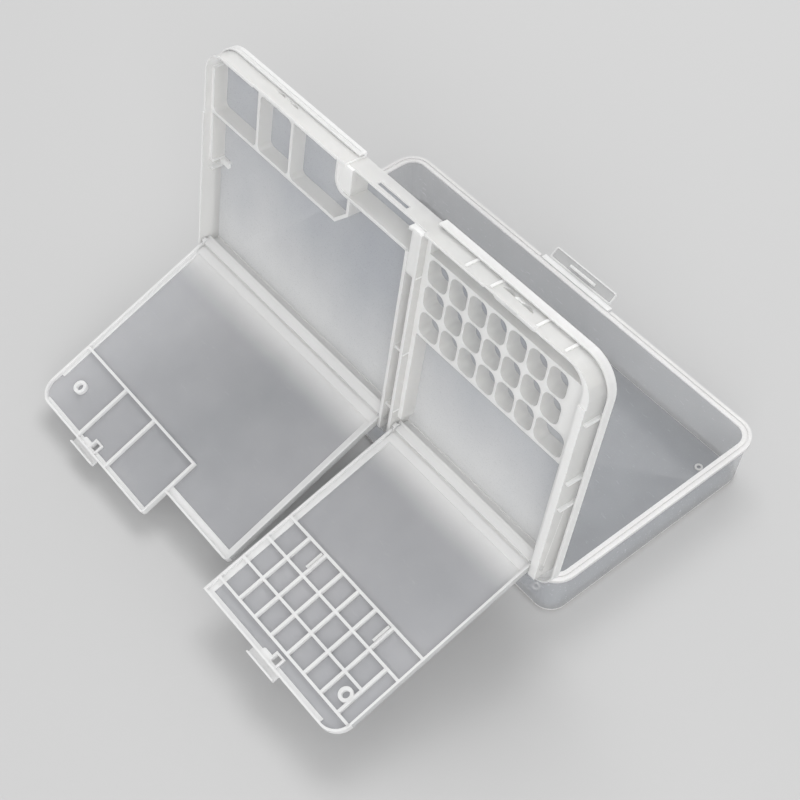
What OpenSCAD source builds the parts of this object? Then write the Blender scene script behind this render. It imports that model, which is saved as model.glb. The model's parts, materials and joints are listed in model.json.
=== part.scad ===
// Hinged organiser box: a base with a leaning middle tray on its back edge, and two
// covers that open off the front of the tray. Every wall is moulded translucent plastic.
// X runs along the main hinge, Y from the hinge side to the latch side, Z is up.
// The origin is the middle of the base's underside.

/* [Box] */
// Width of the box along its hinge line
box_w = 210; // [207:0.5:216]
// Depth of the box from the hinge edge to the latch edge
box_d = 109.7; // [108:0.1:114]
// Height of the base
base_h = 25.2; // [18:0.2:40]

/* [Pose] */
// Angle that the tray is opened from lying on the base
tray_open = 81.1; // [45:0.1:100]
// Angle that the left cover is opened from lying on the tray
left_open = 119.7; // [60:0.1:122]
// Angle that the right cover is opened from lying on the tray
right_open = 113.8; // [60:0.1:122]

/* [Base] */
// Radius of the rim's corners
rim_r = 10.2; // [6:0.1:16]
// Width of the rim's flat top
rim_w = 3.7; // [3.2:0.1:5]
// Thickness of the rim's flange
rim_t = 1.6; // [1:0.1:3]
// Overhang of the rim past the wall under it
rim_lap = 1.1; // [0.5:0.1:1.4]
// Inward lean of the walls from the rim to the floor
draft = 1.4; // [0.5:0.1:2.5]
// Thickness of the base walls
base_wall = 1.9; // [1.2:0.1:2.1]
// Thickness of the base floor
floor_t = 1.5; // [1:0.1:3]
// Radius of each raised ring on the floor
ring_r = 1.65; // [1.2:0.05:2.5]
// Height of each raised ring
ring_h = 0.4; // [0.2:0.1:1]
// Inner radius of each raised ring
ring_bore = 0.9; // [0.4:0.05:1]
// Distance of the rings from the rim's edges at the sides
ring_side = 15; // [12:0.5:25]
// Distance of the rings from the hinge edge
ring_back = 7.7; // [7.3:0.1:14]
// Distance of the rings from the latch edge
ring_front = 14.6; // [8:0.1:20]

/* [Main hinge] */
// Distance of each hinge from the middle of the box
hinge_x = 62; // [40:0.5:80]
// Outer radius of the hinge knuckles
knuckle_r = 1.9; // [1.6:0.05:2.1]
// Radius of the hinge pins
pin_r = 0.9; // [0.7:0.05:1]
// Radial clearance round every hinge pin
pin_fit = 0.05; // [0.02:0.01:0.1]
// Length of the knuckle on the base
base_knuckle = 8; // [5:0.5:14]
// Length of each knuckle on the tray
tray_knuckle = 5; // [3:0.5:9]
// Gap between pieces that pass each other
gap = 0.3; // [0.2:0.05:0.4]
// Distance of the hinge axis behind the hinge edge
axis_back = 0.5; // [0.2:0.05:0.6]
// Height of the hinge axis over the rim
axis_up = 1.04; // [0.9:0.02:1.2]
// Gap between the base's rim and the closed tray
seat_gap = 0.1; // [0.05:0.01:0.2]

/* [Latch] */
// Middle of the latch along the box
latch_x = 0.5; // [-0.5:0.1:1]
// Width of the latch strip
strip_w = 40.4; // [34:0.2:41]
// Length of the latch strip, from its hinge line outwards
strip_l = 2.6; // [2:0.1:4]
// Width of the latch flap
flap_w = 36; // [28:0.5:38]
// Length of the latch flap
flap_l = 5.5; // [4:0.1:6]
// Thickness of the latch strip and flap
latch_t = 1.1; // [0.8:0.1:1.2]
// Upward tilt of the flap against the strip
flap_tilt = 40; // [10:1:60]
// Width of the hook bar on the flap
hook_w = 14; // [8:0.5:18]
// Distance of the hook bar from the flap's hinge line
hook_at = 2.1; // [1.6:0.1:2.8]
// Depth of the hook bar along the flap
hook_l = 0.9; // [0.6:0.1:1.4]
// Height of the hook bar
hook_h = 1.2; // [1:0.1:1.4]

/* [Tray] */
// Depth of the tray that the rim stands past at the latch edge
tray_short = 0.2; // [0:0.1:0.6]
// Radius of the tray's corners at the latch side
tray_r = 13; // [11.5:0.1:16]
// Radius of the tray's corners at the hinge side
tray_back_r = 9; // [4:0.5:10]
// Thickness of the tray's plate
plate_t = 1.2; // [0.8:0.1:2]
// Height of the lip round the plate
lip_h = 3.4; // [2:0.1:4]
// Thickness of the lip round the plate
lip_t = 0.8; // [0.5:0.1:1]
// Width of the groove between the lip and the walls
groove = 0.3; // [0.2:0.05:0.6]
// Height of the side walls, from the plate's back
side_h = 10.6; // [10.4:0.1:13]
// Height of the wall at the latch side, below the side walls
top_drop = 0.6; // [0.5:0.1:1]
// Thickness of the left side wall beside the cover
side_t = 0.9; // [0.7:0.1:1.2]
// Thickness of the wall at the latch side
top_t = 1.4; // [1:0.1:1.6]
// Thickness of the partitions inside the tray
part_t = 1.35; // [0.9:0.05:1.6]
// Clearance between the partitions and the closed covers
cover_rest = 0.2; // [0.1:0.05:0.4]
// Distance of the wall at the hinge side from the tray's edge
back_wall_at = 12.1; // [11.4:0.1:12.4]
// Height of the wall at the hinge side
back_wall_h = 4.1; // [2.5:0.1:4.2]
// Depth of the notch for the latch
notch_d = 2; // [1.5:0.1:2.2]
// Clearance at each side of the latch in the notch
notch_gap = 1; // [0.5:0.1:1.5]
// Height of the keeper wall in the notch
keeper_h = 8; // [7.2:0.1:9]
// Thickness of the keeper wall
keeper_t = 0.8; // [0.6:0.1:1]

/* [Left compartment] */
// Width of the ledge under the left cover beside the pockets
left_ledge = 1.7; // [1:0.1:2.5]
// Length of the tray's left side where the ledge is wide
left_ledge_l = 51; // [30:1:60]
// Depth of the three pockets
pocket_l = 27; // [24:0.5:34]
// Width of the first pocket, beside the side wall
pocket_1 = 27.3; // [20:0.1:29]
// Width of the second pocket
pocket_2 = 18.65; // [14:0.1:20]
// Left edge of the bay behind the latch
bay_x = -25.3; // [-28:0.1:-24]
// Depth of the bay behind the latch
bay_d = 12.1; // [9:0.1:15]
// Radius of the bay's rounded corner
bay_r = 5; // [3:0.1:5.5]
// Height of the bay's wall
bay_h = 9.6; // [7.5:0.1:10.4]
// Thickness of the bay's wall
bay_t = 1.4; // [1:0.1:1.8]
// Distance of the partition's right end from the bay's left edge
chamfer = 6.8; // [5.2:0.1:9]

/* [Divider] */
// Left face of the divider between the compartments
divider_x = 15.2; // [14:0.1:16]
// Thickness of the divider's two walls
divider_t = 1.4; // [1:0.1:1.6]
// Width of the channel between the divider's walls
channel_w = 3.8; // [3:0.1:4.2]
// Distance of the first channel rib from the tray's edge
channel_rib_1 = 22.5; // [20:0.5:30]
// Distance of the second channel rib from the tray's edge
channel_rib_2 = 51.5; // [40:0.5:60]
// Distance of the third channel rib from the tray's edge
channel_rib_3 = 87.5; // [70:0.5:90]
// Width of the seat for the right cover along the divider
seat_w = 2; // [1:0.1:2.4]

/* [Right compartment] */
// Setback of the right side wall's outer face
right_setback = 1.3; // [0.8:0.1:2]
// Thickness of the right side wall
right_t = 3.3; // [2.6:0.1:3.8]
// Width of the ledge under the right cover
right_ledge = 2.5; // [1.5:0.1:3]
// Thickness of the wall at the latch side of the right compartment
right_top_t = 0.9; // [0.7:0.1:1.1]
// Width of the first column of cells past the others
cell_first = 0.6; // [0:0.1:2]
// Distance from one column of cells to the next
cell_pitch_x = 9.6; // [8.5:0.1:9.6]
// Number of cell rows
cell_rows_n = 3; // [2:1:4]
// Distance from one row of cells to the next
cell_pitch_y = 11.67; // [9.5:0.01:12]
// Distance of the cells from the wall at the latch side
cell_top = 7.45; // [6:0.05:10]
// Distance of the catch block's middle from the right side wall
catch_at = 35; // [32:0.5:38]
// Width of the catch block
catch_w = 22.6; // [18:0.2:25]
// Depth of the catch block
catch_d = 3.4; // [3:0.1:4]
// Width of the pocket in the catch block
catch_pocket = 10; // [6:0.5:14]
// Thickness of the gussets outside the right walls
gusset_t = 1; // [0.7:0.1:1.6]
// Drop of the gussets below the walls that they hold
gusset_drop = 1.2; // [0.8:0.1:3]
// Distance of the gussets beside the catch block from its ends
gusset_gap = 12; // [6:0.5:13]
// Distance of the first side gusset from the latch edge
side_gusset_1 = 21.5; // [18:0.5:28]
// Distance of the second side gusset from the latch edge
side_gusset_2 = 49.5; // [40:0.5:54]
// Distance of the third side gusset from the latch edge
side_gusset_3 = 62.5; // [58:0.5:80]

/* [Covers] */
// Distance of the cover hinges from the tray's hinge edge
cover_axis_y = 14.6; // [14.4:0.05:15.2]
// Distance of the cover hinges below the closed covers' faces
cover_axis_in = 2.4; // [2.2:0.05:2.6]
// Thickness of the cover panels
cover_t = 1.2; // [0.9:0.1:1.3]
// Height of the covers' rims and ribs under the panels
rib_h = 1.8; // [1.3:0.1:2]
// Width of the covers' rims
cover_rim = 0.9; // [0.7:0.1:1.2]
// Thickness of the covers' ribs
rib_t = 1.1; // [0.8:0.05:1.4]
// Overhang of the covers behind their hinge axis
cover_tail = 3; // [2:0.1:3.2]
// Clearance at the sides of the covers
side_gap = 0.2; // [0.15:0.05:0.3]
// Clearance at the latch edges of the covers
end_gap = 0.4; // [0.3:0.05:0.6]
// Radius of the covers' outer corners
cover_r = 8; // [6:0.1:10]
// Radius of the covers' hinge lugs
lug_r = 1.9; // [1.5:0.05:2]
// Thickness of the covers' hinge lugs
lug_t = 1.2; // [0.9:0.1:2]
// Radius of the covers' hinge pins
stub_r = 0.8; // [0.6:0.05:0.9]
// Outer radius of the ring bosses
boss_r = 2.8; // [2:0.1:3]
// Inner radius of the ring bosses
boss_bore = 1.5; // [1:0.1:1.8]
// Distance of the left ring boss from the cover's side
left_boss_x = 12.7; // [9:0.1:16]
// Distance of the left ring boss from the cover's latch edge
left_boss_y = 14.1; // [9:0.1:18]
// Distance of the right ring boss from the cover's side
right_boss_x = 9.8; // [8:0.1:11]
// Distance of the right ring boss from the cover's latch edge
right_boss_y = 13.4; // [12.6:0.1:14]
// Distance of the last long rib on the right cover from the latch edge
right_rib_end = 7.7; // [6:0.1:8]
// Distance from one long rib on the right cover to the next
right_rib_pitch = 11.2; // [10.5:0.1:11.6]
// Length of the two small bars beside the short ribs
bar_l = 7.4; // [5:0.1:8.5]
// Thickness of the small bars
bar_t = 1; // [0.8:0.1:1.4]

/* [Cover tabs] */
// Distance of the left tab's middle from the left cover's outer side
left_tab_at = 36.4; // [34:0.1:38]
// Distance of the right tab's middle from the right cover's outer side
right_tab_at = 39.6; // [36:0.1:43]
// Width of the covers' tabs
tab_w = 15.2; // [10:0.1:16]
// Length of the tabs past the covers' edges
tab_l = 2.9; // [2.7:0.1:3.4]
// Thickness of the tabs over the wall
tab_t = 0.8; // [0.6:0.1:0.8]
// Thickness of the lip at each tab's end
tab_lip = 0.7; // [0.5:0.05:0.8]
// Depth of the lip at each tab's end
tab_lip_h = 1.6; // [1:0.1:2.4]
// Width of the square hole beside each tab
hole_w = 3; // [2:0.1:3.6]
// Offset of the square hole from the tab's middle
hole_x = 2.6; // [-2:0.1:4]
// Distance of the square hole's middle from the cover's edge
hole_y = 3.2; // [2.9:0.1:4]

/* [Hidden] */
$fn = 48;
arc_steps = 10;   // straight steps in a quarter of a rounded outline
eps = 0.01;       // overlap that keeps joined solids whole

half_w = box_w / 2;
tray_d = box_d - tray_short;
hinge_axis = [-axis_back, base_h + axis_up];
bore_r = pin_r + pin_fit;

// Base
rim_in = half_w - rim_w;
wall_top = rim_lap;                 // inset of the wall's outer face under the rim
wall_foot = rim_lap + draft;        // inset of the wall's outer face at the floor
barrel_reach = knuckle_r + gap;     // half of the pocket that a knuckle turns in
pin_reach = base_knuckle / 2 + gap + tray_knuckle;      // half of a hinge pin's length

// Latch
strip_y = box_d - rim_lap - 0.2;    // hinge line of the strip
strip_gap = 0.1;                    // gap at each living hinge
strip_end = strip_y + strip_gap + strip_l;

// Tray
wall_in = lip_t + groove;           // inset of the tray's walls from its edge
wall_x = half_w - wall_in;
wall_y = tray_d - wall_in;
wall_r = tray_r - wall_in;
inner_r = cover_r + 0.3;            // inner corners of the walls round the covers
top_in = wall_y - top_t;            // inner face of the wall at the latch side
top_h = side_h - top_drop;
ledge_h = side_h - cover_t - rib_h - cover_rest;
left_in = -(wall_x - side_t);
wall_end = 10;                      // side walls start this far from the hinge edge
part_y = top_in - pocket_l - part_t;    // lower face of the pocket partition
notch_w = strip_w + 2 * notch_gap;
notch_y = tray_d - notch_d;
keeper_y = notch_y - keeper_t;
bay_y = notch_y - bay_d - 0.5;      // lower face of the bay's wall
chamfer_x = bay_x + chamfer;        // right face of the partition's turned end

// Divider and right compartment
divider_in = divider_x + divider_t;
divider_out = divider_in + channel_w;
right_x = divider_out + divider_t;  // right face of the divider
seat_x = right_x + seat_w;
right_out = wall_x - right_setback;
right_in = right_out - right_t;
right_ledge_x = right_in - right_ledge;
cell_x = seat_x + cell_first;
cell_cols = floor((right_ledge_x - part_t - cell_x) / cell_pitch_x);
cell_y = top_in - cell_top - part_t - cell_rows_n * cell_pitch_y;

// Covers
axis_n = side_h - cover_axis_in;    // height of the cover hinges in the tray
ledge_start = cover_axis_y + norm([cover_tail, cover_axis_in]) + gap + 0.2;
panel_top = cover_axis_in;          // the cover's outer face, from its axis
panel_low = panel_top - cover_t;
rim_low = panel_low - rib_h;
cover_end = top_in - end_gap - cover_axis_y;
left_x0 = left_in + side_gap;
left_x1 = divider_x - side_gap;
right_x0 = right_x + side_gap;
right_x1 = right_in - side_gap;
short_end = bay_y - end_gap - cover_axis_y;
notch_side = bay_x - end_gap;
left_tab_x = left_x0 + left_tab_at;
right_tab_x = right_x1 - right_tab_at;
left_rib_y = part_y - cover_axis_y;     // the long rib lies over the pocket partition
right_rib_y = cover_end - right_rib_end - 3 * right_rib_pitch;
tab_dip = top_h - (side_h - tab_t - cover_rest);    // lowering of the wall under a tab

clear = [0.93, 0.94, 0.95, 0.75];

// Points of a quarter circle, or its corner when the radius is 0
function corner(x, y, r, a) = r <= 0 ? [[x, y]] :
    [for (i = [0 : arc_steps]) [x + r * cos(a + 90 * i / arc_steps),
                                y + r * sin(a + 90 * i / arc_steps)]];

// Outline of a rectangle with corner radii [back left, back right, front right, front left]
function round_rect(x0, x1, y0, y1, r) = concat(
    corner(x0 + r[0], y0 + r[0], r[0], 180),
    corner(x1 - r[1], y0 + r[1], r[1], 270),
    corner(x1 - r[2], y1 - r[2], r[2], 0),
    corner(x0 + r[3], y1 - r[3], r[3], 90));

module slab(x, y, z) {
    translate([x[0], y[0], z[0]]) cube([x[1] - x[0], y[1] - y[0], z[1] - z[0]]);
}

module plate(x, y, z, r) {
    translate([0, 0, z[0]]) linear_extrude(z[1] - z[0])
        polygon(round_rect(x[0], x[1], y[0], y[1], r));
}

module rod(x, y, z, r) {
    translate([x[0], y, z]) rotate([0, 90, 0]) cylinder(h = x[1] - x[0], r = r);
}

// Outline of the base at an inset from its rim
module base_outline(inset, z, h = eps) {
    r = rim_r - inset;
    plate([-half_w + inset, half_w - inset], [inset, box_d - inset], [z, z + h], [r, r, r, r]);
}

// Frames: the base with its hinge edge at Y = 0, the tray's own flat frame, and a cover's
// frame with its hinge axis as origin
module in_base() {
    translate([0, -box_d / 2, 0]) children();
}

module in_tray() {
    in_base() translate([0, hinge_axis[0], hinge_axis[1]]) rotate([tray_open, 0, 0])
        translate([0, axis_back, seat_gap - axis_up]) children();
}

module in_cover(angle) {
    in_tray() translate([0, cover_axis_y, axis_n]) rotate([angle, 0, 0]) children();
}

module at_hinges() {
    for (side = [-1, 1]) translate([side * hinge_x, 0, 0]) children();
}

// The two tray knuckles of a hinge, as spans along X
function tray_spans(grow = 0) = [for (side = [-1, 1])
    let (mid = side * (base_knuckle / 2 + gap + tray_knuckle / 2))
    [mid - tray_knuckle / 2 - grow, mid + tray_knuckle / 2 + grow]];

function base_span(grow = 0) = [-base_knuckle / 2 - grow, base_knuckle / 2 + grow];

// ---- Base ----

module base_box() {
    y = hinge_axis[0];
    z = hinge_axis[1];
    rim_z = base_h - rim_t;
    color(clear) in_base() difference() {
        union() {
            difference() {
                union() {
                    hull() {
                        base_outline(wall_foot, 0);
                        base_outline(wall_top, base_h - 0.5);
                    }
                    difference() {
                        base_outline(0, rim_z, rim_t);
                        base_outline(rim_w, rim_z - 1, rim_t + 2);
                    }
                }
                hull() {
                    base_outline(wall_foot + base_wall, floor_t);
                    base_outline(rim_w, base_h + 1);
                }
            }
            at_hinges() {
                rod(base_span(), y, z, knuckle_r);
                slab(base_span(), [y - knuckle_r / 2, knuckle_r - axis_back], [rim_z, z]);
            }
        }
        // Groove round the rim's top
        difference() {
            base_outline(rim_lap + 0.3, base_h - 0.4, 1);
            base_outline(rim_lap + 0.9, base_h - 1, 3);
        }
        at_hinges() {
            rod(base_span(1), y, z, bore_r);
            for (span = tray_spans(gap))
                slab(span, [-1, barrel_reach - axis_back], [z - barrel_reach, base_h + 5]);
        }
        // Break in the rim for the latch
        slab([latch_x - notch_w / 2, latch_x + notch_w / 2],
             [strip_y - strip_gap, box_d + 1], [rim_z - gap, base_h + 1]);
    }
}

module floor_rings() {
    color(clear) in_base() for (x = [-1, 1], y = [ring_back, box_d - ring_front])
        translate([x * (half_w - ring_side), y, floor_t]) difference() {
            cylinder(h = ring_h, r = ring_r);
            translate([0, 0, -1]) cylinder(h = ring_h + 2, r = ring_bore);
        }
}

module main_hinge_pins() {
    color(clear) in_base() at_hinges()
        rod([-pin_reach, pin_reach], hinge_axis[0], hinge_axis[1], pin_r);
}

// ---- Latch ----

module latch_strip() {
    color(clear) in_base() slab([latch_x - strip_w / 2, latch_x + strip_w / 2],
                                [strip_y + strip_gap, strip_end], [base_h - latch_t, base_h]);
}

module latch_flap() {
    color(clear) in_base() translate([latch_x, strip_end + strip_gap, base_h])
        rotate([flap_tilt, 0, 0]) {
            plate([-flap_w / 2, flap_w / 2], [strip_gap, strip_gap + flap_l], [-latch_t, 0],
                  [0, 0, 1.2, 1.2]);
            slab([-hook_w / 2, hook_w / 2], [hook_at, hook_at + hook_l], [-eps, hook_h]);
        }
}

// ---- Tray ----

// Outline of the tray at an inset from its edge
module tray_outline(inset, z) {
    back = tray_back_r - inset;
    front = tray_r - inset;
    plate([inset - half_w, half_w - inset], [inset, tray_d - inset], z,
          [back, back, front, front]);
}

module latch_notch() {
    slab([latch_x - notch_w / 2, latch_x + notch_w / 2], [notch_y, tray_d + 1],
         [-1, lip_h + 1]);
}

module tray_plate() {
    z = axis_up - seat_gap;
    color(clear) in_tray() difference() {
        union() {
            tray_outline(0, [0, plate_t]);
            at_hinges() for (span = tray_spans()) rod(span, -axis_back, z, knuckle_r);
        }
        at_hinges() {
            rod([-pin_reach - 1, pin_reach + 1], -axis_back, z, bore_r);
            slab(base_span(gap), [-5, barrel_reach - axis_back], [-5, lip_h + 5]);
        }
        latch_notch();
    }
}

module tray_lip() {
    color(clear) in_tray() difference() {
        tray_outline(0, [plate_t, lip_h]);
        tray_outline(lip_t, [0, lip_h + 1]);
        latch_notch();
        at_hinges() slab([-pin_reach - gap, pin_reach + gap], [-1, barrel_reach - axis_back],
                         [0, lip_h + 1]);
    }
}

// Lowered stretch of the latch-side wall, where a cover's tab crosses it
module tab_gate(x) {
    slab([x - tab_w / 2 - gap, x + tab_w / 2 + gap], [top_in - 1, tray_d],
         [top_h - tab_dip, top_h + 1]);
}

module left_walls() {
    color(clear) in_tray() difference() {
        union() {
            difference() {
                plate([-wall_x, bay_x], [wall_end, wall_y], [plate_t, top_h], [0, 0, 0, wall_r]);
                plate([left_in, bay_x + 1], [wall_end - 1, top_in], [0, side_h], [0, 0, 0, inner_r]);
            }
            slab([-wall_x, left_in], [wall_end, part_y], [plate_t, side_h]);
            slab([-wall_x, divider_x], [back_wall_at, back_wall_at + part_t],
                 [plate_t, back_wall_h]);
        }
        tab_gate(left_tab_x);
        rod([-half_w - 1, left_in + 1], cover_axis_y, axis_n, stub_r + pin_fit);
    }
}

module left_ledge_rail() {
    color(clear) in_tray() slab([left_in, left_in + left_ledge],
                                [top_in - left_ledge_l, top_in - inner_r], [plate_t, ledge_h]);
}

// The partition under the pockets, which turns up to meet the latch bay
module pocket_partition() {
    t = part_t;
    diag = t * (sqrt(2) - 1);
    lift = chamfer;
    color(clear) in_tray() translate([0, 0, plate_t]) linear_extrude(ledge_h - plate_t) polygon([
        [left_in + left_ledge, part_y],
        [bay_x, part_y],
        [chamfer_x, part_y + lift],
        [chamfer_x, bay_y],
        [chamfer_x - t, bay_y],
        [chamfer_x - t, part_y + lift + diag],
        [bay_x - diag, part_y + t],
        [left_in + left_ledge, part_y + t]]);
}

module pocket_dividers() {
    first = left_in + left_ledge + pocket_1;
    second = first + part_t + pocket_2;
    color(clear) in_tray() for (x = [first, second])
        slab([x, x + part_t], [part_y + part_t, top_in], [plate_t, ledge_h]);
}

module left_catch_block() {
    first = left_in + left_ledge + pocket_1 + part_t;
    color(clear) in_tray() slab([first, first + pocket_2], [top_in - 3, top_in],
                                [plate_t, ledge_h]);
}

module latch_bay() {
    color(clear) in_tray() {
        difference() {
            plate([bay_x, divider_x], [bay_y, wall_y], [plate_t, bay_h], [bay_r, 0, 0, 0]);
            plate([bay_x + bay_t, divider_x + 1], [bay_y + bay_t, wall_y + 1],
                  [0, bay_h + 1], [bay_r - bay_t, 0, 0, 0]);
        }
        slab([bay_x + bay_t, latch_x - notch_w / 2], [keeper_y, wall_y], [plate_t, bay_h]);
    }
}

module latch_keeper() {
    slot_low = strip_l + 2 * strip_gap + hook_at + strip_gap - seat_gap;
    color(clear) in_tray() difference() {
        slab([latch_x - notch_w / 2, right_x], [keeper_y, notch_y], [plate_t, keeper_h]);
        slab([latch_x - hook_w / 2 - 1, latch_x + hook_w / 2 + 1], [keeper_y - 1, notch_y + 1],
             [slot_low - 0.6, slot_low + hook_l + 0.5]);
    }
}

module divider_walls() {
    color(clear) in_tray() for (x = [divider_x, divider_out]) difference() {
        slab([x, x + divider_t], [wall_end, keeper_y], [plate_t, side_h]);
        rod([x - 1, x + divider_t + 1], cover_axis_y, axis_n, stub_r + pin_fit);
    }
}

module channel_ribs() {
    color(clear) in_tray() for (y = [channel_rib_1, channel_rib_2, channel_rib_3])
        slab([divider_in, divider_out], [y, y + part_t], [plate_t, side_h - 1]);
}

module right_seat_rails() {
    color(clear) in_tray() {
        slab([right_x, seat_x], [ledge_start, top_in], [plate_t, ledge_h]);
        slab([right_ledge_x, right_in], [ledge_start, top_in - inner_r], [plate_t, ledge_h]);
    }
}

module right_walls() {
    color(clear) in_tray() difference() {
        union() {
            difference() {
                plate([right_x, right_out], [wall_end, top_in + right_top_t], [plate_t, top_h],
                      [0, 0, wall_r - right_setback, 0]);
                plate([right_x - 1, right_in], [wall_end - 1, top_in], [0, side_h],
                      [0, 0, inner_r, 0]);
            }
            slab([right_in, right_out], [wall_end, top_in - wall_r], [plate_t, side_h]);
            slab([right_x, right_in], [back_wall_at, back_wall_at + part_t],
                 [plate_t, back_wall_h]);
        }
        tab_gate(right_tab_x);
        rod([right_in - 1, right_out + 1], cover_axis_y, axis_n, stub_r + pin_fit);
    }
}

module right_gussets() {
    low = right_in - catch_at - catch_w / 2;
    high = low + catch_w;
    wall_face = top_in + right_top_t;
    color(clear) in_tray() {
        for (d = [side_gusset_1, side_gusset_2, side_gusset_3])
            slab([right_out, wall_x], [tray_d - d, tray_d - d + gusset_t],
                 [plate_t, side_h - gusset_drop]);
        for (x = [low - gusset_gap, low, high - gusset_t, high + gusset_gap])
            slab([x, x + gusset_t], [wall_face, wall_y], [plate_t, top_h - gusset_drop]);
    }
}

module right_catch_block() {
    mid = right_in - catch_at;
    r = catch_d - 0.2;
    skin = 1;       // wall left round the block's pocket
    color(clear) in_tray() difference() {
        plate([mid - catch_w / 2, mid + catch_w / 2], [top_in - catch_d, top_in],
              [plate_t, ledge_h], [r, r, 0, 0]);
        slab([mid - catch_pocket / 2, mid + catch_pocket / 2],
             [top_in - catch_d + skin, top_in - skin], [ledge_h - 2.5, ledge_h + 1]);
    }
}

module cell_rows() {
    color(clear) in_tray() for (i = [0 : cell_rows_n]) {
        y = cell_y + i * cell_pitch_y;
        slab([seat_x, right_ledge_x], [y, y + part_t], [plate_t, ledge_h]);
    }
}

module cell_dividers() {
    color(clear) in_tray() for (row = [0 : cell_rows_n - 1], col = [1 : cell_cols])
        if (row > 0 || col < cell_cols) {
            x = cell_x + col * cell_pitch_x;
            y = cell_y + row * cell_pitch_y;
            slab([x, x + part_t], [y + part_t, y + cell_pitch_y], [plate_t, ledge_h]);
        }
}

// ---- Covers ----

// A cover's panel with its rim, given as [outer outline, inner outline]
module dish(outer, inner) {
    translate([0, 0, rim_low]) difference() {
        linear_extrude(panel_top - rim_low) polygon(outer);
        translate([0, 0, -1]) linear_extrude(rib_h + 1) polygon(inner);
    }
}

// Outline of the left cover at an inset, with a step in front of the latch bay
function left_outline(inset) = let (r = cover_r - inset, a = inset) concat(
    [[left_x0 + a, -cover_tail + a], [left_x1 - a, -cover_tail + a],
     [left_x1 - a, short_end - a], [notch_side - a, short_end - a],
     [notch_side - a, cover_end - a]],
    corner(left_x0 + a + r, cover_end - a - r, r, 90));

module hinge_lug(x) {
    rod(x, 0, 0, lug_r);
    slab(x, [-lug_r, lug_r], [0, panel_low + eps]);
}

module square_hole(x) {
    slab([x + hole_x - hole_w / 2, x + hole_x + hole_w / 2],
         [cover_end - hole_y - hole_w / 2, cover_end - hole_y + hole_w / 2],
         [rim_low - 1, panel_top + 1]);
}

// Snap tab on a cover's edge, with a lip that hangs outside the tray's wall
module tab(x) {
    reach = cover_end + tab_l;
    span = [x - tab_w / 2, x + tab_w / 2];
    slab(span, [cover_end, reach], [panel_top - tab_t, panel_top]);
    slab(span, [reach - tab_lip, reach], [panel_top - tab_t - tab_lip_h, panel_top]);
}

module ring_boss(x, y) {
    translate([x, y, rim_low]) difference() {
        cylinder(h = rib_h, r = boss_r);
        translate([0, 0, -1]) cylinder(h = rib_h + 2, r = boss_bore);
    }
}

module left_cover_panel() {
    color(clear) in_cover(left_open) difference() {
        union() {
            dish(left_outline(0), left_outline(cover_rim));
            hinge_lug([left_x0, left_x0 + lug_t]);
            hinge_lug([left_x1 - lug_t, left_x1]);
        }
        square_hole(left_tab_x);
    }
}

module left_cover_ribs() {
    first = left_in + left_ledge + pocket_1;
    second = first + part_t + pocket_2;
    z = [rim_low, panel_low];
    long_end = notch_side - cover_rim;
    color(clear) in_cover(left_open) {
        slab([left_x0 + cover_rim, long_end], [left_rib_y, left_rib_y + rib_t], z);
        for (x = [first, second])
            slab([x, x + rib_t], [left_rib_y + rib_t, cover_end - cover_rim], z);
        slab([long_end, long_end + rib_t], [left_rib_y, short_end - cover_rim], z);
    }
}

module left_cover_boss() {
    color(clear) in_cover(left_open) ring_boss(left_x0 + left_boss_x, cover_end - left_boss_y);
}

module left_cover_tab() {
    color(clear) in_cover(left_open) tab(left_tab_x);
}

module left_cover_pins() {
    color(clear) in_cover(left_open) {
        rod([-wall_x, left_x0], 0, 0, stub_r);
        rod([left_x1, divider_in], 0, 0, stub_r);
    }
}

// Outline of the right cover at an inset
function right_outline(inset) = round_rect(right_x0 + inset, right_x1 - inset,
    inset - cover_tail, cover_end - inset, [0, 0, cover_r - inset, 0]);

module right_cover_panel() {
    color(clear) in_cover(right_open) difference() {
        union() {
            dish(right_outline(0), right_outline(cover_rim));
            hinge_lug([right_x0, right_x0 + lug_t]);
            hinge_lug([right_x1 - lug_t, right_x1]);
        }
        square_hole(right_tab_x);
    }
}

function rib_x(i) = cell_x + i * cell_pitch_x;      // short ribs lie over the cell dividers

function rib_y(i) = right_rib_y + i * right_rib_pitch;

// Long ribs with short ribs between them. A last short rib crosses two rows, and the long rib
// between those rows ends on it.
module right_rib_grid(z) {
    last = rib_x(cell_cols);
    for (i = [0 : 3])
        slab([right_x0 + cover_rim, i == 2 ? last : right_x1 - cover_rim],
             [rib_y(i), rib_y(i) + rib_t], z);
    for (row = [0 : 2], i = [1 : cell_cols - 1])
        slab([rib_x(i), rib_x(i) + rib_t], [rib_y(row) + rib_t, rib_y(row + 1)], z);
    slab([last, last + rib_t], [rib_y(1) + rib_t, rib_y(3)], z);
    for (i = [2, cell_cols - 1])
        slab([rib_x(i) - gap - bar_t, rib_x(i) - gap],
             [rib_y(0) + rib_t + gap, rib_y(0) + rib_t + gap + bar_l], z);
}

module right_cover_ribs() {
    z = [rim_low, panel_low];
    color(clear) in_cover(right_open) difference() {
        intersection() {
            translate([0, 0, z[0]]) linear_extrude(z[1] - z[0])
                polygon(right_outline(cover_rim));
            right_rib_grid(z);
        }
        // The ring boss stands in the last short rib
        translate([right_x1 - right_boss_x, cover_end - right_boss_y, z[0] - 1])
            cylinder(h = rib_h + 2, r = boss_r);
    }
}

module right_cover_boss() {
    color(clear) in_cover(right_open) ring_boss(right_x1 - right_boss_x, cover_end - right_boss_y);
}

module right_cover_tab() {
    color(clear) in_cover(right_open) tab(right_tab_x);
}

module right_cover_pins() {
    color(clear) in_cover(right_open) {
        rod([divider_out, right_x0], 0, 0, stub_r);
        rod([right_x1, right_out], 0, 0, stub_r);
    }
}

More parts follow.
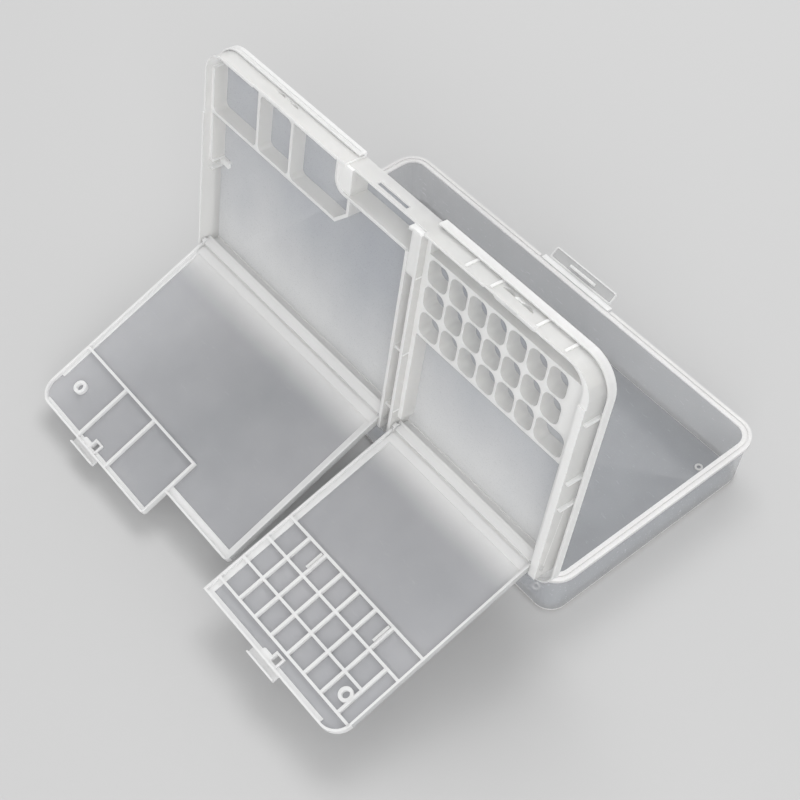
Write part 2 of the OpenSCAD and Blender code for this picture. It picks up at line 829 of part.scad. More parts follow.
base_box();
floor_rings();
main_hinge_pins();
latch_strip();
latch_flap();
tray_plate();
tray_lip();
left_walls();
left_ledge_rail();
pocket_partition();
pocket_dividers();
left_catch_block();
latch_bay();
latch_keeper();
divider_walls();
channel_ribs();
right_seat_rails();
right_walls();
right_gussets();
right_catch_block();
cell_rows();
cell_dividers();
left_cover_panel();
left_cover_ribs();
left_cover_boss();
left_cover_tab();
left_cover_pins();
right_cover_panel();
right_cover_ribs();
right_cover_boss();
right_cover_tab();
right_cover_pins();
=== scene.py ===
"""Looks of the hinged organiser box: moulded translucent plastic, dressed over the CAD frame."""
import json
from math import cos, radians, sin

import bmesh
import bpy
from mathutils import Matrix, Vector

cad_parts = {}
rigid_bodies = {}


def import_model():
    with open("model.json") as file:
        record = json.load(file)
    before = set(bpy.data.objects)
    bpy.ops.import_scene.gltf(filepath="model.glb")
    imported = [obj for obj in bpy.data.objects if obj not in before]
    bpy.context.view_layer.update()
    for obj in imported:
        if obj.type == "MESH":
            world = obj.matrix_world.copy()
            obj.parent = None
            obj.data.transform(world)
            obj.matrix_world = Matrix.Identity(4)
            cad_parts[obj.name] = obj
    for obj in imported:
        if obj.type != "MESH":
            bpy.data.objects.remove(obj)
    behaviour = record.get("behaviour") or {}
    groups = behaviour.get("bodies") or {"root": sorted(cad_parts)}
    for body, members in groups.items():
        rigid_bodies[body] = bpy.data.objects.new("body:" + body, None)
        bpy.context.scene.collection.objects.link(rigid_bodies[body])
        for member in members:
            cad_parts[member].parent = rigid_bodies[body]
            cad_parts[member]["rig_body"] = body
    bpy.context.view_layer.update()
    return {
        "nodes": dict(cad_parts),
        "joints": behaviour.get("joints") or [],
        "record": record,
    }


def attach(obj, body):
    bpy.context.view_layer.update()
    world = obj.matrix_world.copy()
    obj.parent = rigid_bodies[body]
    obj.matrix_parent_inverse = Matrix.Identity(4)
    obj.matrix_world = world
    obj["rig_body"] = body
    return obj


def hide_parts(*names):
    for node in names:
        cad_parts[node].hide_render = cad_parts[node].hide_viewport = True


MM = 0.001

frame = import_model()
bpy.context.scene.view_settings.view_transform = "Standard"

joints = {joint["name"]: joint for joint in frame["joints"]}
slots = {part["node"]: part["material_slot"] for part in frame["record"]["subparts"]}


# ---- Flat frames: each moulding is dressed as it lies level, then placed as it stands ----

def least_turn(name):
    """The turn in radians that takes a hinge from its lowest limit to rest."""
    return -radians(joints[name]["range_deg"][0])


def joint_frame(name, turn):
    """Matrix of a hinge whose X runs along the axis, turned by an angle from level."""
    return Matrix.Translation(Vector(joints[name]["pos_m"])) @ Matrix.Rotation(turn, 4, "X")


tray_turn = least_turn("main_hinge")
tray_frame = joint_frame("main_hinge", tray_turn)
left_frame = joint_frame("left_cover_hinge", tray_turn + least_turn("left_cover_hinge"))
right_frame = joint_frame("right_cover_hinge", tray_turn + least_turn("right_cover_hinge"))
flap_frame = joint_frame("latch_flap_hinge", least_turn("latch_flap_hinge"))
level = Matrix.Identity(4)


# ---- Camera, lamps and floor ----

CAMERA_AZIMUTH, CAMERA_ELEVATION = radians(50.89), radians(51.34)
CAMERA_AIM, CAMERA_DISTANCE = (0.15, -39.95, 20.5), 589.6      # in millimetres
CAMERA_LENS, CAMERA_SENSOR = 66.96, 36

# name, place in metres, width and height in metres, and power in watts
SOFTBOXES = [("key", (-0.35, 0.45, 1.1), (0.9, 0.7), 7),
             ("fill", (0.9, -0.8, 0.7), (0.8, 0.8), 7)]
SOFTBOX_AIM = (0, 0, 0.02)

FLOOR_WIDTH = 6      # in metres
FLOOR_COLOUR, FLOOR_ROUGHNESS = (0.56, 0.56, 0.56, 1), 0.8
STUDIO_COLOUR, STUDIO_STRENGTH = (1, 1, 1, 1), 0.66


def add_camera():
    back = Vector((sin(CAMERA_AZIMUTH) * cos(CAMERA_ELEVATION),
                   -cos(CAMERA_AZIMUTH) * cos(CAMERA_ELEVATION), sin(CAMERA_ELEVATION)))
    data = bpy.data.cameras.new("camera")
    data.lens = CAMERA_LENS
    data.sensor_width = CAMERA_SENSOR
    camera = bpy.data.objects.new("camera", data)
    camera.location = Vector(CAMERA_AIM) * MM + CAMERA_DISTANCE * MM * back
    camera.rotation_euler = back.to_track_quat("Z", "Y").to_euler()
    bpy.context.scene.collection.objects.link(camera)
    bpy.context.scene.camera = camera


def add_softbox(name, place, size, power):
    data = bpy.data.lights.new(name, "AREA")
    data.shape = "RECTANGLE"
    data.size, data.size_y = size
    data.energy = power
    lamp = bpy.data.objects.new(name, data)
    lamp.location = place
    away = Vector(place) - Vector(SOFTBOX_AIM)
    lamp.rotation_euler = away.to_track_quat("Z", "Y").to_euler()
    bpy.context.scene.collection.objects.link(lamp)


def add_floor():
    floor_paint = Shader("floor_paint")
    floor_paint.set(Base_Color=FLOOR_COLOUR, Roughness=FLOOR_ROUGHNESS)
    bpy.ops.object.select_all(action="DESELECT")
    bpy.ops.mesh.primitive_plane_add(size=FLOOR_WIDTH)
    floor = bpy.context.object
    floor.name = "floor"
    floor.data.materials.append(floor_paint.material)


def add_studio_light():
    world = bpy.data.worlds.new("studio")
    bpy.context.scene.world = world
    world.use_nodes = True
    background = world.node_tree.nodes["Background"]
    background.inputs["Color"].default_value = STUDIO_COLOUR
    background.inputs["Strength"].default_value = STUDIO_STRENGTH


# ---- Shader maths ----

class Value:
    """A socket of a material's node tree, with arithmetic that adds Math nodes."""

    def __init__(self, shader, socket):
        self.shader = shader
        self.socket = socket

    def math(self, operation, *others):
        return self.shader.node("ShaderNodeMath", {"operation": operation},
                                dict(enumerate((self,) + others)))

    def __add__(self, other):
        return self.math("ADD", other)

    def __mul__(self, other):
        return self.math("MULTIPLY", other)

    __radd__ = __add__
    __rmul__ = __mul__

    def above(self, edge, soft):
        """0 below an edge and 1 above it, over a soft band."""
        return self.shader.node("ShaderNodeMapRange", {"clamp": True},
                                {"Value": self, "From Min": edge - soft, "From Max": edge + soft})


class Shader:
    """A material with one Principled shader, and short calls for the nodes that feed it."""

    def __init__(self, name):
        self.material = bpy.data.materials.new(name)
        self.material.use_nodes = True
        self.tree = self.material.node_tree
        self.principled = self.tree.nodes["Principled BSDF"]
        self.place = self.node("ShaderNodeTexCoord", output="Object")

    def node(self, kind, settings=None, inputs=None, output=0):
        made = self.tree.nodes.new(kind)
        for key, value in (settings or {}).items():
            setattr(made, key, value)
        for key, value in (inputs or {}).items():
            self.feed(made.inputs[key], value)
        return Value(self, made.outputs[output])

    def feed(self, socket, value):
        if isinstance(value, Value):
            self.tree.links.new(value.socket, socket)
        else:
            socket.default_value = value

    def set(self, **inputs):
        for key, value in inputs.items():
            self.feed(self.principled.inputs[key.replace("_", " ")], value)

    def noise(self, scale, detail, stretch=(1, 1, 1)):
        place = self.node("ShaderNodeMapping", None, {"Vector": self.place, "Scale": stretch})
        return self.node("ShaderNodeTexNoise", None,
                         {"Vector": place, "Scale": scale, "Detail": detail}, "Fac")

    def mix(self, factor, low, high):
        """Colour between two colours, each written as three numbers or another colour."""
        ends = [end if isinstance(end, Value) else (*end, 1) for end in (low, high)]
        return self.node("ShaderNodeMix", {"data_type": "RGBA"},
                         {"Factor": factor, 6: ends[0], 7: ends[1]}, 2)

    def along(self, direction, start, end):
        """0 to 1 between two distances in millimetres along a direction, eased at both ends."""
        distance = self.node("ShaderNodeVectorMath", {"operation": "DOT_PRODUCT"},
                             {0: self.place, 1: direction}, "Value")
        return self.node("ShaderNodeMapRange", {"interpolation_type": "SMOOTHSTEP"},
                         {"Value": distance, "From Min": start * MM, "From Max": end * MM})

    def bump(self, height, distance, strength):
        return self.node("ShaderNodeBump", None,
                         {"Height": height, "Distance": distance, "Strength": strength})


# ---- Plastics ----

FLOW_SCALE, FLOW_STRETCH, FLOW_OPACITY = 22, (1, 1, 0.6), 0.12
GRAIN_SCALE, GRAIN_DEPTH, GRAIN_ROUGHNESS = 2400, 0.015, 0.14
SCUFF_SCALE, SCUFF_STRETCH, SCUFF_ROUGHNESS, SCUFF_OPACITY = 210, (1, 4, 3), 0.12, 0.03
WHITENED_TINT, WHITENED_OPACITY = (0.9, 0.9, 0.89), 0.95
MILKINESS, LIGHT_REACH = 0.8, 4               # share of light that spreads inside, and how far
PLASTIC_IOR = 1.49


def moulded_plastic(name, tint, cloud, opacity, gloss, whitening=None):
    """Milky see-through plastic with cloudy flow marks, a frosted grain and faint scuffs.

    whitening is a direction and two distances between which the plastic gets whiter and more
    opaque."""
    shader = Shader(name)
    flow = shader.noise(FLOW_SCALE, detail=3, stretch=FLOW_STRETCH)
    grain = shader.noise(GRAIN_SCALE, detail=2)
    scuffs = shader.noise(SCUFF_SCALE, detail=5, stretch=SCUFF_STRETCH).above(0.7, soft=0.06)
    colour = shader.mix(flow.above(0.5, soft=0.25), tint, cloud)
    alpha = opacity - FLOW_OPACITY / 2 + FLOW_OPACITY * flow + SCUFF_OPACITY * scuffs
    if whitening:
        depth = shader.along(*whitening) * (0.8 + 0.4 * flow)
        colour = shader.mix(depth, colour, WHITENED_TINT)
        alpha = alpha + (WHITENED_OPACITY - opacity) * depth
    shader.set(Base_Color=colour, Alpha=alpha, IOR=PLASTIC_IOR,
               Roughness=gloss + GRAIN_ROUGHNESS * grain + SCUFF_ROUGHNESS * scuffs,
               Normal=shader.bump(grain + 0.3 * scuffs, GRAIN_DEPTH * MM, strength=0.5),
               Subsurface_Weight=MILKINESS, Subsurface_Radius=(1, 1, 1),
               Subsurface_Scale=LIGHT_REACH * MM)
    return shader.material


# The tray gets whiter and more opaque down towards its hinge, and the covers back towards theirs
TRAY_WHITENS = ((0, 0, -1), -115, 10)
COVER_WHITENS = ((0, 1, 0), -78, -62)

# Each slot's plastic in three copies that paint light and shade: broad panels darkest, walls
# lighter, and edges whitest, a painted highlight for the light that gathers in them. Each has its
# tint, its cloud's tint, its opacity and its roughness.
PANEL, WALL, EDGE = range(3)
painted_light_finishes = {
    "base_plastic": (
        moulded_plastic("base_panel", (0.3, 0.32, 0.35), (0.4, 0.42, 0.45), 0.46, 0.18),
        moulded_plastic("base_wall", (0.5, 0.52, 0.54), (0.6, 0.61, 0.63), 0.36, 0.18),
        moulded_plastic("base_edge_highlight", (0.7, 0.69, 0.69), (0.8, 0.79, 0.78), 0.84, 0.2)),
    "latch_plastic": (
        moulded_plastic("latch_panel", (0.46, 0.47, 0.47), (0.58, 0.58, 0.58), 0.5, 0.15),
        moulded_plastic("latch_wall", (0.7, 0.71, 0.7), (0.8, 0.8, 0.79), 0.6, 0.15),
        moulded_plastic("latch_edge_highlight", (0.88, 0.89, 0.88), (0.93, 0.93, 0.92), 0.88, 0.18)),
    "tray_plastic": (
        moulded_plastic("tray_panel", (0.44, 0.46, 0.5), (0.56, 0.57, 0.59), 0.6, 0.22,
                        TRAY_WHITENS),
        moulded_plastic("tray_wall", (0.79, 0.79, 0.77), (0.87, 0.86, 0.84), 0.66, 0.25),
        moulded_plastic("tray_edge_highlight", (0.87, 0.87, 0.86), (0.93, 0.93, 0.92), 0.9, 0.25)),
    "cover_plastic": (
        moulded_plastic("cover_panel", (0.46, 0.47, 0.49), (0.55, 0.55, 0.57), 0.56, 0.24,
                        COVER_WHITENS),
        moulded_plastic("cover_wall", (0.66, 0.67, 0.68), (0.76, 0.76, 0.76), 0.6, 0.25),
        moulded_plastic("cover_edge_highlight", (0.86, 0.86, 0.86), (0.92, 0.92, 0.91), 0.88, 0.25)),
}


# ---- Modelling ----

FINE_GRID = MM / 1000                 # CAD corners are rounded to it and merged within it
SLACK = 0.01                          # in millimetres, for finding edges by their place
SAME_LEVEL = 0.02                     # a face within it of a panel's level is that panel's
FLAT_ANGLE = radians(0.6)             # faces that meet within it are made one
FACET_ANGLE = radians(20)             # facets of one rounded corner meet within it
CREASE_ANGLE = radians(46)            # edges that turn more are bevelled
LEVEL_NORMAL, SLOPED_NORMAL = 0.9, 0.1        # the least upward part of such a face's normal
EDGE_WIDTH = 3.6                      # an upright face narrower than this gets the painted edge highlight
THROUGH = 1                           # how far a cut reaches past what it cuts
REMODELLED = ("cell_rows", "cell_dividers")   # cell_block stands in for them in the tray


def only(piece):
    bpy.ops.object.select_all(action="DESELECT")
    piece.select_set(True)
    bpy.context.view_layer.objects.active = piece


def in_edit(piece, work, select_all=True):
    """Runs mesh operators on a piece in edit mode."""
    only(piece)
    bpy.ops.object.mode_set(mode="EDIT")
    bpy.ops.mesh.select_all(action="SELECT" if select_all else "DESELECT")
    work()
    bpy.ops.object.mode_set(mode="OBJECT")


def bevel_edges(piece, wanted, radius, segments, **settings):
    """Rounds the edges of a piece that pass a test of an edge and its ends in millimetres."""
    def work():
        bpy.ops.mesh.select_mode(type="EDGE")
        mesh = bmesh.from_edit_mesh(piece.data)
        for edge in mesh.edges:
            edge.select = wanted(edge, [vertex.co / MM for vertex in edge.verts])
        bpy.ops.mesh.bevel(offset=radius * MM, segments=segments, affect="EDGES", **settings)
    in_edit(piece, work, select_all=False)


def is_upright(ends):
    return (ends[0] - ends[1]).xy.length < SLACK


def modify(piece, kind, **settings):
    only(piece)
    modifier = piece.modifiers.new(kind.lower(), kind)
    for key, value in settings.items():
        setattr(modifier, key, value)
    bpy.ops.object.modifier_apply(modifier=modifier.name)


def cad_copy(node, turned):
    """A merged copy of a CAD node's mesh in a hinge's own flat frame, on a fine grid."""
    source = frame["nodes"][node]
    piece = bpy.data.objects.new(node + "_form", source.data.copy())
    bpy.context.scene.collection.objects.link(piece)
    piece.data.materials.clear()
    piece.data.transform(turned.inverted())
    for vertex in piece.data.vertices:
        vertex.co = [round(value / FINE_GRID) * FINE_GRID for value in vertex.co]
    in_edit(piece, lambda: bpy.ops.mesh.remove_doubles(threshold=FINE_GRID))
    return piece


def tidy_faces(piece):
    def work():
        bpy.ops.mesh.remove_doubles(threshold=FINE_GRID)
        bpy.ops.mesh.dissolve_limited(angle_limit=FLAT_ANGLE)
    in_edit(piece, work)


def paint_light_by_face(piece, panels):
    """Paints light and shade by face: the darkest panel finish on level faces at the panels'
    levels, the painted edge highlight on other level faces and on narrow upright ones, the
    lighter wall finish elsewhere.

    A facet of a rounded corner is as wide as the wall that it belongs to."""
    def work():
        mesh = bmesh.from_edit_mesh(piece.data)
        for face in mesh.faces:
            places = [vertex.co / MM for vertex in face.verts]
            height = max(place.z for place in places) - min(place.z for place in places)
            run = max((a - b).xy.length for a in places for b in places)
            if abs(face.normal.z) > LEVEL_NORMAL:
                at_panel = any(abs(places[0].z - panel) < SAME_LEVEL for panel in panels)
                face.material_index = PANEL if at_panel else EDGE
            elif abs(face.normal.z) > SLOPED_NORMAL:
                face.material_index = WALL
            else:
                rounded = any(edge.is_manifold and edge.calc_face_angle() < FACET_ANGLE
                              for edge in face.edges)
                width = height if rounded else min(height, run)
                face.material_index = EDGE if width < EDGE_WIDTH else WALL
    in_edit(piece, work)


def group_of(forms):
    group = bpy.data.collections.new("forms")
    bpy.context.scene.collection.children.link(group)
    for form in forms:
        group.objects.link(form)
    return group


def combine(piece, operation, forms):
    """Joins forms to a piece or cuts them from it, and removes them."""
    if forms:
        group = group_of(forms)
        modify(piece, "BOOLEAN", operation=operation, solver="EXACT",
               operand_type="COLLECTION", collection=group)
        for form in forms:
            bpy.data.objects.remove(form)
        bpy.data.collections.remove(group)
    return piece


def block(x, y, z, corner=0.0, rounded=None, steps=6):
    """A box from spans in millimetres, with its upright edges rounded where asked."""
    low, high = (Vector(ends) * MM for ends in zip(x, y, z))
    bpy.ops.object.select_all(action="DESELECT")
    bpy.ops.mesh.primitive_cube_add(size=1, location=(low + high) / 2, scale=high - low)
    bpy.ops.object.transform_apply()
    piece = bpy.context.object

    def wanted(_, ends):
        return is_upright(ends) and (rounded is None or rounded(ends[0].x, ends[0].y))
    if corner:
        bevel_edges(piece, wanted, corner, steps)
    return piece


def flat_box(node, turned):
    """Spans of a CAD node in a hinge's flat frame, in millimetres."""
    places = [turned.inverted() @ vertex.co / MM for vertex in frame["nodes"][node].data.vertices]
    return [(min(place[i] for place in places), max(place[i] for place in places))
            for i in range(3)]


def mould(name, nodes, turned, rounding, panels=(), added=(), cut=(), shape=None, paint_light=None,
          convex=False):
    """One moulding: the CAD solids of its walls joined, with rounded edges, in place.

    rounding and the panels' levels are in millimetres. added and cut are forms in the same flat
    frame. shape works on the joined form, and paint_light adds painted light and shade to its
    faces. convex splits its concave faces, which keeps the shading even between many ribs."""
    forms = [cad_copy(node, turned) for node in nodes if node not in REMODELLED]
    piece = combine(forms[0], "UNION", forms[1:] + list(added))
    combine(piece, "DIFFERENCE", list(cut))
    piece.name = name
    tidy_faces(piece)
    if shape:
        shape(piece)
    slot = slots[nodes[0]]
    # the slot's plastic in its three copies of painted light and shade
    for finish in painted_light_finishes[slot]:
        piece.data.materials.append(finish)
    paint_light_by_face(piece, panels)
    # painted highlights and shade on chosen faces
    if paint_light:
        paint_light(piece)
    if convex:
        in_edit(piece, lambda: bpy.ops.mesh.vert_connect_concave())
    modify(piece, "BEVEL", width=rounding * MM, segments=2, limit_method="ANGLE",
           angle_limit=CREASE_ANGLE, loop_slide=False)
    only(piece)
    bpy.ops.object.shade_smooth_by_angle(angle=FACET_ANGLE if added else CREASE_ANGLE)
    modify(piece, "WEIGHTED_NORMAL", keep_sharp=True)
    piece.data.transform(turned)
    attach(piece, frame["nodes"][nodes[0]]["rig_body"])
    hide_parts(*nodes)
    return piece


# ---- Cells of the right compartment, in millimetres ----

CELL_PITCH_X, CELL_PITCH_Y = 9.6, 11.67
CELL_WALL, CELL_CORNER = 1.1, 3.0
CAD_CELL_WALL = 1.35
CELL_SET_IN, CELL_SIDE_SET_IN = 0.3, 2.8      # into the plate and divider, into the side wall
CELL_END_WALL = 0.4                           # left at both ends of a row, beside those walls
LEAST_CELL, CORNER_SHARE, CELL_CORNER_STEPS = 5, 0.4, 5


def cell_block():
    """The grid of cells, cut as rounded wells out of one block."""
    x, y, z = flat_box("cell_rows", tray_frame)
    first = flat_box("cell_dividers", tray_frame)[0][0]
    grid = block((x[0] - CELL_SET_IN, x[1] + CELL_SIDE_SET_IN), y, (z[0] - CELL_SET_IN, z[1]))
    well_z = (z[0] - THROUGH, z[1] + THROUGH)
    half = CELL_WALL / 2
    rows = round((y[1] - y[0]) / CELL_PITCH_Y)
    columns = int((x[1] - first) / CELL_PITCH_X) + 1
    first_divider = first + (CAD_CELL_WALL - CELL_WALL) / 2 + half
    first_line = y[0] + CAD_CELL_WALL / 2
    wells = []
    for row in range(rows):
        low = first_line + row * CELL_PITCH_Y + half
        high = first_line + (row + 1) * CELL_PITCH_Y - half
        lines = [x[0] - half + CELL_END_WALL]
        lines += [first_divider + i * CELL_PITCH_X for i in range(columns)]
        if row == 0:
            lines.pop()      # the lowest row has one long cell at its end
        lines.append(x[1] + half - CELL_END_WALL)
        for start, end in zip(lines, lines[1:]):
            room = end - start - CELL_WALL
            if room >= LEAST_CELL:
                corner = min(CELL_CORNER, CORNER_SHARE * room)
                wells.append(block((start + half, end - half), (low, high), well_z, corner,
                                   steps=CELL_CORNER_STEPS))
    return combine(grid, "DIFFERENCE", wells)


# ---- Tray details, in millimetres across, up the tray and out from its plate ----

PLATE_FOOT, PLATE_BACK = 0.5, -0.94           # the plate's lower edge and back in the flat frame
TRAY_PANELS = (PLATE_BACK, 0.16, 0.26)        # levels of the plate's back and of its front faces

# finger scoops in the tray's far wall: place across and out, radius, wall's face, depth
SCOOPS = [(58.4, 7.4, 3.7, 107.9, 1.6), (67.2, 7.5, 3.5, 107.9, 1.6),
          (-64.0, 6.6, 2.9, 108.4, 1.2), (-56.0, 6.6, 2.7, 108.4, 1.2)]
SCOOP_END = 9.6                               # how far out their floors meet the wall's face
SCOOP_STEPS, SCOOP_SPARE = 40, 0.4            # the cutter reaches past the floor by the spare
SCOOP_SIDE_NORMAL, SCOOP_SLACK = 0.4, 0.05    # for finding the scoops' sides
# slits between them: left and right ends, wall's face, lower and upper sides
SLITS = [(61.9, 64.9, 107.9, 3.75, 4.2), (62.6, 64.9, 107.9, 5.1, 5.5),
         (-61.4, -58.6, 108.4, 3.8, 4.3)]
SLIT_SPAN = (-0.7, 0.3)                       # from inside the wall to past its face

# fine line in the left part of the edge lip
LIP_LINE = ((-97, -22), (109.3, 112), (1.7, 2))
# opening from the divider's channel to the bay, through the divider's left wall
BAY_OPENING = ((14, 16.75), (96.3, 105.5), (1.1, 12))
# post at the bay's left end
POST, POST_CORNER = ((-24.9, -17), (95.3, 107.3), (1, 9.1)), 4.6
# cap over the divider's upper end
CAP = ((15.4, 21.6), (87.6, 106.9), (7.4, 10.3))
# low step across the plate, above the covers' hinges
FOOT_STEP = ((-102.8, 96.5), (13.2, 14.1), (1, 1.5))
# short seams on the divider's right wall
SEAM_X, SEAM_WIDTH, SEAM_OUT = (21.5, 21.92), 0.7, (7, 10.2)
SEAM_PLACES = (22.7, 51.7, 87.6)
# small clip at the left wall
CLIP_ARMS = [((-103.3, -100.8), (55.6, 56.3), (0.8, 7.1)),
             ((-103.3, -100.9), (51.7, 52.4), (0.8, 7.1))]
CLIP_FOOT, CLIP_CORNER = ((-103.3, -96.9), (52.2, 55.0), (0.7, 1.9)), 0.9
CLIP_BAR = ((-101.6, -96.6), (55.2, 55.8), (0.7, 2.4))

# a block over a pocket's corners and the rounded well that is cut from it, in the flat frame,
# up to the level of the pockets' walls
POCKET_TOP, POCKET_CORNER = 6.46, 2.2
POCKET_CORNERS = [((-90, -73.7), (80.2, 107.8), (-120, -74), (80.5, 107.5)),
                  ((-101.6, -90), (80.2, 95), (-101.3, -60), (80.5, 120)),
                  ((-72.95, -53.7), (80.2, 104.8), (-72.65, -54), (80.5, 104.5)),
                  ((-52.95, -40), (80.2, 107.8), (-52.65, -20), (80.5, 107.5))]


def tray_block(x, up, out, corner=0.0, rounded=None):
    return block(x, [place + PLATE_FOOT for place in up], [place + PLATE_BACK for place in out],
                 corner, rounded)


def finger_scoop(across, out, radius, face, depth):
    """A round scoop, deepest on the plate's side, whose floor rises to the wall's face."""
    low = out - radius
    wall = face + PLATE_FOOT
    bpy.ops.object.select_all(action="DESELECT")
    bpy.ops.mesh.primitive_cylinder_add(
        vertices=SCOOP_STEPS, radius=radius * MM, depth=2 * (depth + SCOOP_SPARE) * MM,
        location=Vector((across, wall, out + PLATE_BACK)) * MM, rotation=(radians(90), 0, 0))
    bpy.ops.object.transform_apply()
    scoop = bpy.context.object

    def work():
        bpy.ops.mesh.bisect(plane_co=Vector((0, wall - depth, low + PLATE_BACK)) * MM,
                            plane_no=(0, SCOOP_END - low, -depth), use_fill=True,
                            clear_inner=True)
    in_edit(scoop, work)
    return scoop


def paint_scoop_shade(piece):
    """Paints shade into the scoops: their upright sides get the darker wall finish in place of
    the edge highlight.
    """
    for face in piece.data.polygons:
        place = face.center / MM - Vector((0, PLATE_FOOT, PLATE_BACK))
        for across, out, radius, wall, depth in SCOOPS:
            reach = Vector((place.x - across, place.z - out)).length
            on_side = abs(face.normal.y) < SCOOP_SIDE_NORMAL and reach < radius + SCOOP_SLACK
            if on_side and place.z < out and wall - depth - 2 * SCOOP_SLACK < place.y < wall:
                face.material_index = WALL


def tray_cuts():
    low, high = SLIT_SPAN
    slits = [tray_block((left, right), (face + low, face + high), (under, over))
             for left, right, face, under, over in SLITS]
    return ([finger_scoop(*scoop) for scoop in SCOOPS] + slits
            + [tray_block(*LIP_LINE), tray_block(*BAY_OPENING)])


def tray_additions():
    """Details that stand on the CAD form, each set into its neighbours."""
    def bay_corner(x, y):
        """Whether a corner of the post follows the bay wall's rounded corner."""
        return x < -20 and y < 100
    post = tray_block(*POST, POST_CORNER, bay_corner)
    cap = tray_block(*CAP)
    seams = [tray_block(SEAM_X, (up, up + SEAM_WIDTH), SEAM_OUT) for up in SEAM_PLACES]
    clip = [tray_block(*arm) for arm in CLIP_ARMS]
    clip += [tray_block(*CLIP_FOOT, CLIP_CORNER), tray_block(*CLIP_BAR)]
    foot = tray_block(*FOOT_STEP)
    return [cell_block(), post, cap, foot] + seams + clip + pocket_fillets()


def pocket_fillets():
    """Fillets in the upright corners of the pockets, each set a little into the walls."""
    well_z = (-THROUGH, POCKET_TOP + THROUGH)
    return [combine(block(x, y, (0, POCKET_TOP)), "DIFFERENCE",
                    [block(well_x, well_y, well_z, POCKET_CORNER)])
            for x, y, well_x, well_y in POCKET_CORNERS]


# ---- Covers, in millimetres in each cover's flat frame ----

COVER_PANELS = (1.2, 2.4)                     # levels of the panel's ribbed side and plain side
PANEL_CORE = 1.5                              # level in the panel where the added forms end
HINGE_BANDS = [((-2.4, 1.0), (-0.3, PANEL_CORE)), ((1.9, 5.6), (0.5, PANEL_CORE))]
HINGE_BAND_INSET = 1.2
LOW_BAND_Z, COLLAR_Z = (0.85, PANEL_CORE), (0.3, PANEL_CORE)
RIM = 91.4
TAB_HOLE, TAB_HOLE_HALF = 88.8, 1.5           # place from the hinge, and half its width
TAB_HOLE_SHIFT, TAB_HOLE_Z = 2.6, (-2, 4)     # from the tab's middle, and through the cover
COLLAR_X, COLLAR_Y = (-2.4, 2.4), (-2.3, 2.6)       # from the middle of the hole
TAB_PAD_X, TAB_PAD_CORNER = (-4.2, 0.8), 1          # from the middle of the tab
CORNER_SLACK, CORNER_STEPS = 0.1, 5

# low bands beside each cover's rim, and the left cover's rounded corners with their radii
LEFT_BANDS = [((-102, -100.5), (5.2, 80)), ((-98, -26.3), (89.7, RIM)),
              ((-26.5, 14.4), (76.2, 79.3)), ((11.6, 14.3), (5.2, 79.3))]
RIGHT_BANDS = [((22.6, 90), (89.7, RIM)), ((22.6, 25.2), (5.2, RIM))]
LEFT_CORNERS = [((-25.7, 92.0), 1.5), ((15.0, 79.9), 2.0)]


def tab_middle(tab, turned):
    return sum(flat_box(tab, turned)[0]) / 2


def about(middle, span):
    """A span that is given from a middle."""
    return middle + span[0], middle + span[1]


def cover_additions(panel, tab, turned, bands):
    """Raised bands with a groove between them along the hinge, low bands beside the rim, and a
    collar and a pad at the tab's hole."""
    (low, high), _, _ = flat_box(panel, turned)
    middle = tab_middle(tab, turned)
    hinge_x = (low + HINGE_BAND_INSET, high - HINGE_BAND_INSET)
    forms = [block(hinge_x, y, z) for y, z in HINGE_BANDS]
    forms.append(block(about(middle + TAB_HOLE_SHIFT, COLLAR_X), about(TAB_HOLE, COLLAR_Y),
                       COLLAR_Z))
    forms.append(block(about(middle, TAB_PAD_X), (TAB_HOLE, RIM), COLLAR_Z, TAB_PAD_CORNER))
    return forms + [block(x, y, LOW_BAND_Z) for x, y in bands]


def cover_cuts(tab, turned):
    width = (-TAB_HOLE_HALF, TAB_HOLE_HALF)
    hole = tab_middle(tab, turned) + TAB_HOLE_SHIFT
    return [block(about(hole, width), about(TAB_HOLE, width), TAB_HOLE_Z)]


def round_left_cover(piece):
    for place, radius in LEFT_CORNERS:
        def wanted(_, ends):
            return is_upright(ends) and (ends[0].xy - Vector(place)).length < CORNER_SLACK
        bevel_edges(piece, wanted, radius, CORNER_STEPS)


# ---- Latch, in millimetres in the flap's flat frame ----

FLAP_PANELS = (-0.3, -1.1)                    # the recess's floor and the flap's underside
FLAP_RIM, RECESS_Y, RECESS_Z, RECESS_CORNER = 0.6, (0.8, 5.0), (FLAP_PANELS[0], 2), 0.6
HOOK_BAR_HALF, HOOK_BAR_Y = 7.4, (1.9, 3.2)


def flap_cuts():
    """A shallow recess that leaves a rim round the flap, but not under its hook bar."""
    (left, right), _, _ = flat_box("latch_flap", flap_frame)
    recess = block((left + FLAP_RIM, right - FLAP_RIM), RECESS_Y, RECESS_Z, RECESS_CORNER)
    bar_x = about((left + right) / 2, (-HOOK_BAR_HALF, HOOK_BAR_HALF))
    under_bar = block(bar_x, HOOK_BAR_Y, (RECESS_Z[0] - THROUGH, RECESS_Z[1] + THROUGH))
    return [combine(recess, "DIFFERENCE", [under_bar])]


# ---- Base, in millimetres ----

BASE_PANELS = (0, 1.5)                        # levels of the underside and the floor
FOOT_ROUNDINGS = ((0, 1.0), (1.5, 1.8))       # level and radius, outside and inside the walls
FOOT_STEPS = 4
FOOT_LINE = 1.75                              # the top of the foot's painted highlight
FOOT_REACH_X, FOOT_REACH_Y = 22, 8            # how far in the corners' and walls' feet reach
RING_X, RING_Y, RING_REACH = 90, (-47.15, 40.25), 3
UNDERSIDE_NORMAL = 0.99                       # the flat underside is as level as this


def near_ring(end):
    """Whether a place is at one of the four raised rings on the floor."""
    return any(Vector((abs(end.x) - RING_X, end.y - y)).length < RING_REACH for y in RING_Y)


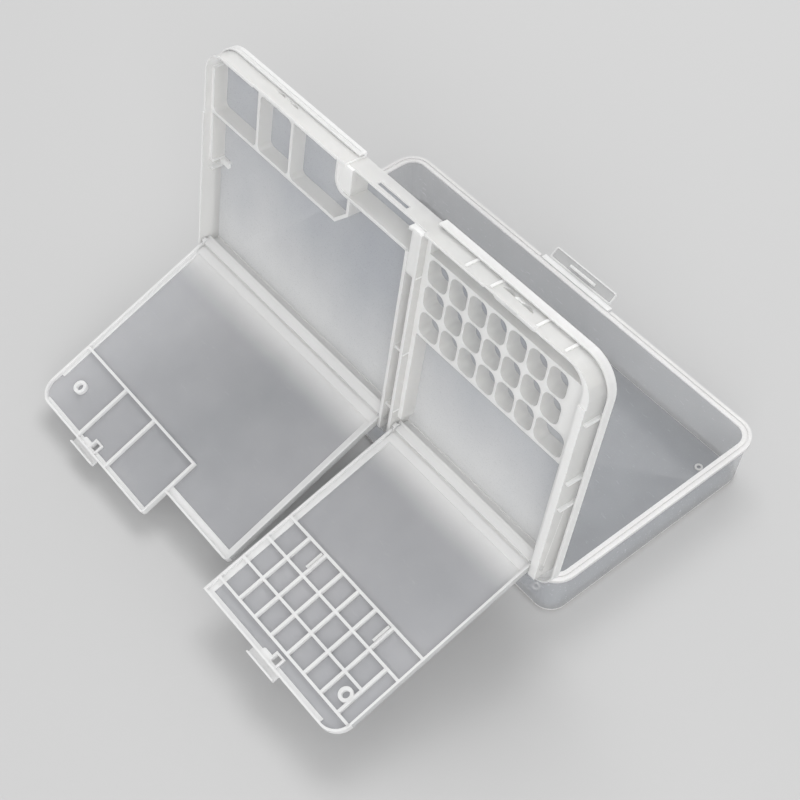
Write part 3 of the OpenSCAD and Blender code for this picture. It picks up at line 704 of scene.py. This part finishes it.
def fillet_base(piece):
    """Rounds the foot of the base's walls, outside and inside, and cuts a line where the foot's
    painted highlight ends.
    """
    x, y, _ = flat_box("base_box", level)
    for height, radius in FOOT_ROUNDINGS:
        def wanted(edge, ends):
            at_foot = all(abs(end.z - height) < SLACK for end in ends)
            near_wall = all(abs(end.x) > x[1] - FOOT_REACH_X or abs(end.y) > y[1] - FOOT_REACH_Y
                            for end in ends)
            ring = all(near_ring(end) for end in ends)
            return at_foot and near_wall and not ring and len(edge.link_faces) == 2
        bevel_edges(piece, wanted, radius, FOOT_STEPS, clamp_overlap=True)
    in_edit(piece, lambda: bpy.ops.mesh.bisect(plane_co=(0, 0, FOOT_LINE * MM),
                                               plane_no=(0, 0, 1)))


def paint_foot_highlight(piece):
    """Paints a highlight on the rounded foot: its faces get the edge finish, standing in for the
    light that gathers there.
    """
    for face in piece.data.polygons:
        if face.center.z < FOOT_LINE * MM and abs(face.normal.z) < UNDERSIDE_NORMAL:
            face.material_index = EDGE


# ---- The whole box ----

# rounding of each moulding's edges, in millimetres
BASE_ROUNDING, TRAY_ROUNDING, COVER_ROUNDING = 0.25, 0.05, 0.15
STRIP_ROUNDING, FLAP_ROUNDING, PIN_ROUNDING = 0.25, 0.15, 0.12

tray_nodes = [node for node in frame["nodes"] if slots[node] == "tray_plastic"]
tray_nodes.sort(key=lambda node: node != "tray_plate")

add_camera()
for softbox in SOFTBOXES:
    add_softbox(*softbox)

mould("base_shell", ["base_box", "floor_rings"], level, BASE_ROUNDING, BASE_PANELS,
      shape=fillet_base, paint_light=paint_foot_highlight)
mould("tray_moulding", tray_nodes, tray_frame, TRAY_ROUNDING, TRAY_PANELS,
      added=tray_additions(), cut=tray_cuts(), paint_light=paint_scoop_shade)
mould("left_cover", ["left_cover_panel", "left_cover_ribs", "left_cover_boss", "left_cover_tab"],
      left_frame, COVER_ROUNDING, COVER_PANELS,
      added=cover_additions("left_cover_panel", "left_cover_tab", left_frame, LEFT_BANDS),
      cut=cover_cuts("left_cover_tab", left_frame), shape=round_left_cover)
mould("right_cover",
      ["right_cover_panel", "right_cover_ribs", "right_cover_boss", "right_cover_tab"],
      right_frame, COVER_ROUNDING, COVER_PANELS,
      added=cover_additions("right_cover_panel", "right_cover_tab", right_frame, RIGHT_BANDS),
      cut=cover_cuts("right_cover_tab", right_frame), convex=True)
mould("strip", ["latch_strip"], level, STRIP_ROUNDING)
mould("flap", ["latch_flap"], flap_frame, FLAP_ROUNDING, FLAP_PANELS, cut=flap_cuts())
mould("hinge_rods", ["main_hinge_pins"], level, PIN_ROUNDING)
mould("left_stubs", ["left_cover_pins"], left_frame, PIN_ROUNDING)
mould("right_stubs", ["right_cover_pins"], right_frame, PIN_ROUNDING)

add_floor()
add_studio_light()
